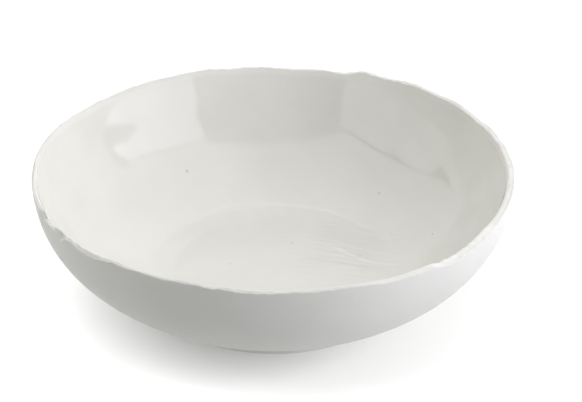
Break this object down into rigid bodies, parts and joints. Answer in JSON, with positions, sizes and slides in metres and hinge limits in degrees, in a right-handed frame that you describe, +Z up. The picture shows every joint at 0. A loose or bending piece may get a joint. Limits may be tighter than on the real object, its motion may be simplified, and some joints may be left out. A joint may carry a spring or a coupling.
{
  "type": "deep plate",
  "caption": "Deep round coupe plate in matt white porcelain, with a clear glossy glaze inside, a torn uneven rim and a low foot ring.",
  "frame": {"origin": "on the table under the middle of the foot ring, which is the bottom centre of the whole plate", "axes": "+Z up out of the plate; -Y towards the viewer of the picture, +X to the viewer's right"},
  "size_m": [0.24, 0.2399, 0.0714],
  "materials": {
    "bare_porcelain": "unglazed white porcelain, polished to a soft matt",
    "clear_glaze": "clear glossy glaze on white porcelain, with soft ripples"
  },
  "bodies": {
    "root": {"porcelain_body": "bare_porcelain", "inner_glaze": "clear_glaze"}
  },
  "joints": []
}
